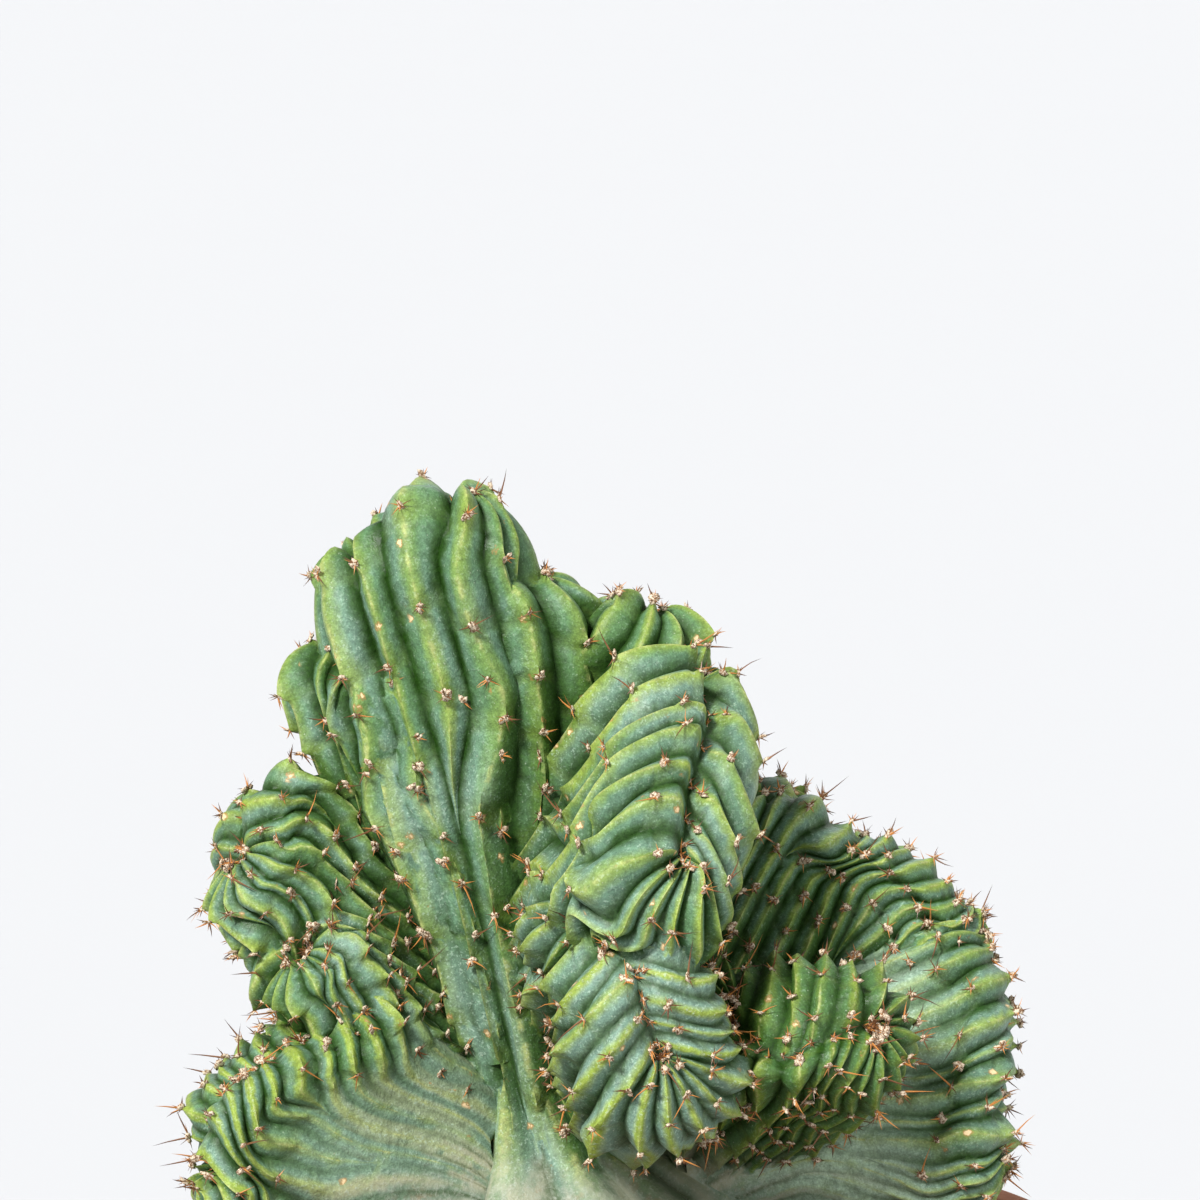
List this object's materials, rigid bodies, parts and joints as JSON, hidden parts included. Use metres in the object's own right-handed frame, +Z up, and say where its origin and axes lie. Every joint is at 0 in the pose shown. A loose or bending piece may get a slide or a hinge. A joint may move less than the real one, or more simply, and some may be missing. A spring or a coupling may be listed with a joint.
{
  "type": "potted crested columnar cactus",
  "caption": "Crested columnar cactus of folded ribbed fans and coiled heads, in potting mix in a plain tapered clay pot with a straight rim and a drain hole.",
  "frame": {"origin": "centre of the pot's foot, on the surface it stands on", "axes": "+Z up along the pot's axis, the plant's best side facing -Y"},
  "size_m": [0.224, 0.224, 0.3481],
  "materials": {
    "clay": "unglazed, matt, slightly chalky",
    "mix": "coarse peat and bark with white grit",
    "skin": "waxy blue-green skin with yellower ridges"
  },
  "bodies": {
    "root": {"pot": "clay", "potting_mix": "mix", "crested_cactus": "skin"}
  },
  "joints": []
}
